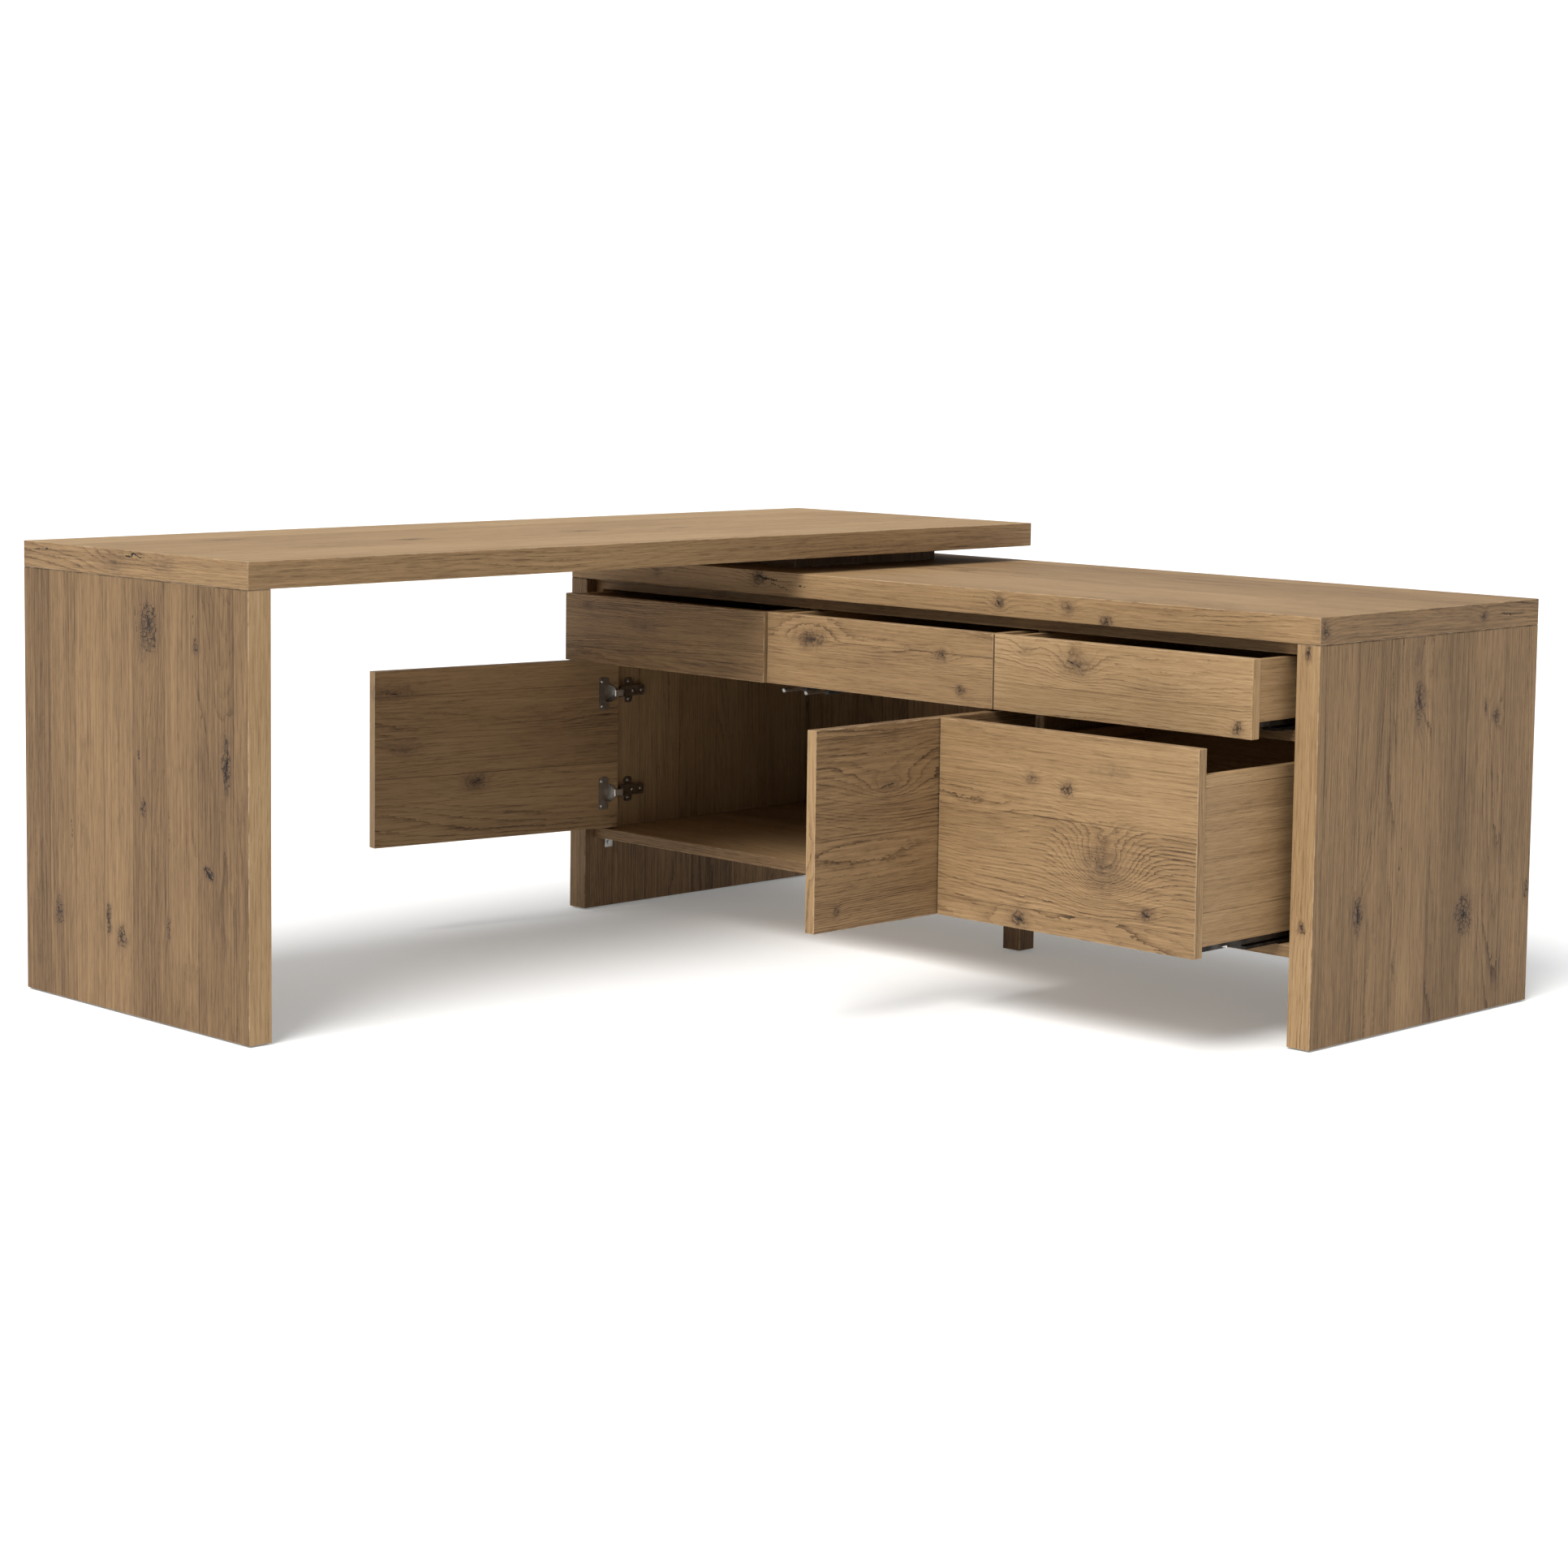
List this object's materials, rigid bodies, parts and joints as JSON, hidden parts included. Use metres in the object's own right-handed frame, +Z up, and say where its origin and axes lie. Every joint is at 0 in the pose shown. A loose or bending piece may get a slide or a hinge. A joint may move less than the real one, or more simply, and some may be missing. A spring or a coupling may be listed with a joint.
{
  "type": "corner desk",
  "caption": "L-shaped corner desk in knotty oak: a waterfall desk top resting on a lower credenza with handleless drawers, a cabinet with doors and a deep file drawer.",
  "frame": {"origin": "floor level, under the middle of the whole L-shaped footprint", "axes": "+X along the desk towards the credenza, +Y along the credenza towards the desk's back edge, +Z up"},
  "size_m": [1.85, 1.7761, 0.762],
  "materials": {
    "desk_oak": "knotty oak veneer, matt oiled",
    "credenza_oak": "knotty oak veneer, matt oiled",
    "case_oak": "oak veneer, matt",
    "door_oak": "knotty oak veneer, matt oiled",
    "drawer_front_oak": "knotty oak veneer, matt oiled",
    "drawer_box_oak": "straight-grained oak, matt",
    "dark_wood": "dark stained wood, matt",
    "fastener_steel": "zinc plated",
    "beech": "bare beech",
    "glide_nylon": "matt nylon",
    "slide_steel": "zinc plated, satin",
    "hinge_nickel": "nickel plated, satin",
    "latch_plastic": "matt grey plastic",
    "plunger_metal": "satin steel with a pale tip"
  },
  "bodies": {
    "case": {"cabinet_partition": "case_oak", "case_back_panel": "case_oak", "case_deck": "case_oak", "case_far_side": "case_oak", "case_near_side": "case_oak", "case_slide_channels": "slide_steel", "case_top_board": "case_oak", "centre_foot": "dark_wood", "corner_dowels": "beech", "credenza_far_panel": "credenza_oak", "credenza_near_panel": "credenza_oak", "credenza_top": "credenza_oak", "deck_brackets": "fastener_steel", "deck_screws": "fastener_steel", "desk_side_panel": "desk_oak", "desk_top": "desk_oak", "door_hinge_arms": "hinge_nickel", "drawer_divider": "case_oak", "drawer_partitions": "case_oak", "floor_glides": "glide_nylon", "latch_housings": "latch_plastic", "riser_block": "dark_wood", "riser_bolts": "fastener_steel"},
    "drawer_1": {"drawer_1_front": "drawer_front_oak", "drawer_1_box_sides": "drawer_box_oak", "drawer_1_box_ends": "drawer_box_oak", "drawer_1_box_bottom": "drawer_box_oak", "drawer_1_slide_channels": "slide_steel"},
    "drawer_1_slides": {"drawer_1_slide_middles": "slide_steel"},
    "drawer_2": {"drawer_2_front": "drawer_front_oak", "drawer_2_box_sides": "drawer_box_oak", "drawer_2_box_ends": "drawer_box_oak", "drawer_2_box_bottom": "drawer_box_oak", "drawer_2_slide_channels": "slide_steel"},
    "drawer_2_slides": {"drawer_2_slide_middles": "slide_steel"},
    "drawer_3": {"drawer_3_front": "drawer_front_oak", "drawer_3_box_sides": "drawer_box_oak", "drawer_3_box_ends": "drawer_box_oak", "drawer_3_box_bottom": "drawer_box_oak", "drawer_3_slide_channels": "slide_steel"},
    "drawer_3_slides": {"drawer_3_slide_middles": "slide_steel"},
    "file_drawer": {"file_drawer_front": "drawer_front_oak", "file_drawer_box_sides": "drawer_box_oak", "file_drawer_box_ends": "drawer_box_oak", "file_drawer_box_bottom": "drawer_box_oak", "file_drawer_slide_channels": "slide_steel"},
    "file_drawer_slides": {"file_drawer_slide_middles": "slide_steel"},
    "left_door": {"left_door": "door_oak", "left_door_hinge_cups": "hinge_nickel"},
    "left_door_links": {"left_door_hinge_links": "hinge_nickel"},
    "left_plunger": {"left_latch_plunger": "plunger_metal"},
    "right_door": {"right_door": "door_oak", "right_door_hinge_cups": "hinge_nickel"},
    "right_door_links": {"right_door_hinge_links": "hinge_nickel"},
    "right_plunger": {"right_latch_plunger": "plunger_metal"}
  },
  "joints": [
    {"name": "drawer_1_pull", "type": "slide", "parent": "case", "child": "drawer_1", "axis": [-1, 0, 0], "range_m": [-0.104, 0.346]},
    {"name": "drawer_1_slide_travel", "type": "slide", "parent": "case", "child": "drawer_1_slides", "axis": [-1, 0, 0], "range_m": [-0.0521, 0.1731]},
    {"name": "drawer_2_pull", "type": "slide", "parent": "case", "child": "drawer_2", "axis": [-1, 0, 0], "range_m": [-0.099, 0.351]},
    {"name": "drawer_2_slide_travel", "type": "slide", "parent": "case", "child": "drawer_2_slides", "axis": [-1, 0, 0], "range_m": [-0.0496, 0.1756]},
    {"name": "drawer_3_pull", "type": "slide", "parent": "case", "child": "drawer_3", "axis": [-1, 0, 0], "range_m": [-0.1, 0.35]},
    {"name": "drawer_3_slide_travel", "type": "slide", "parent": "case", "child": "drawer_3_slides", "axis": [-1, 0, 0], "range_m": [-0.0501, 0.1751]},
    {"name": "file_drawer_pull", "type": "slide", "parent": "case", "child": "file_drawer", "axis": [-1, 0, 0], "range_m": [-0.232, 0.218]},
    {"name": "file_drawer_slide_travel", "type": "slide", "parent": "case", "child": "file_drawer_slides", "axis": [-1, 0, 0], "range_m": [-0.1161, 0.1091]},
    {"name": "left_door_swing", "type": "hinge", "parent": "case", "child": "left_door", "pos_m": [0.34, 0.8, 0.328], "axis": [0, 0, -1], "range_deg": [-99.2, 3]},
    {"name": "left_door_link_turn", "type": "hinge", "parent": "case", "child": "left_door_links", "pos_m": [0.363, 0.8, 0.328], "axis": [0, 0, -1], "range_deg": [-74.5, 2.35]},
    {"name": "left_plunger_push", "type": "slide", "parent": "case", "child": "left_plunger", "axis": [1, 0, 0], "range_m": [-0.00159, 0.0462]},
    {"name": "right_door_swing", "type": "hinge", "parent": "case", "child": "right_door", "pos_m": [0.33525, -0.26225, 0.328], "axis": [0, 0, 1], "range_deg": [-90, 0]},
    {"name": "right_door_link_turn", "type": "hinge", "parent": "case", "child": "right_door_links", "pos_m": [0.366, -0.243, 0.328], "axis": [0, 0, 1], "range_deg": [-67.6, 0.1]},
    {"name": "right_plunger_push", "type": "slide", "parent": "case", "child": "right_plunger", "axis": [1, 0, 0], "range_m": [-0.0002, 0.0462]}
  ],
  "couplings": [
    {"joint": "drawer_1_slide_travel", "follows": "drawer_1_pull", "ratio": 0.5},
    {"joint": "drawer_2_slide_travel", "follows": "drawer_2_pull", "ratio": 0.5},
    {"joint": "drawer_3_slide_travel", "follows": "drawer_3_pull", "ratio": 0.5},
    {"joint": "file_drawer_slide_travel", "follows": "file_drawer_pull", "ratio": 0.5},
    {"joint": "left_door_link_turn", "follows": "left_door_swing", "ratio": 0.75},
    {"joint": "left_plunger_push", "follows": "left_door_swing", "m_per_rad": -0.026569},
    {"joint": "right_door_link_turn", "follows": "right_door_swing", "ratio": 0.75},
    {"joint": "right_plunger_push", "follows": "right_door_swing", "m_per_rad": -0.029285}
  ]
}
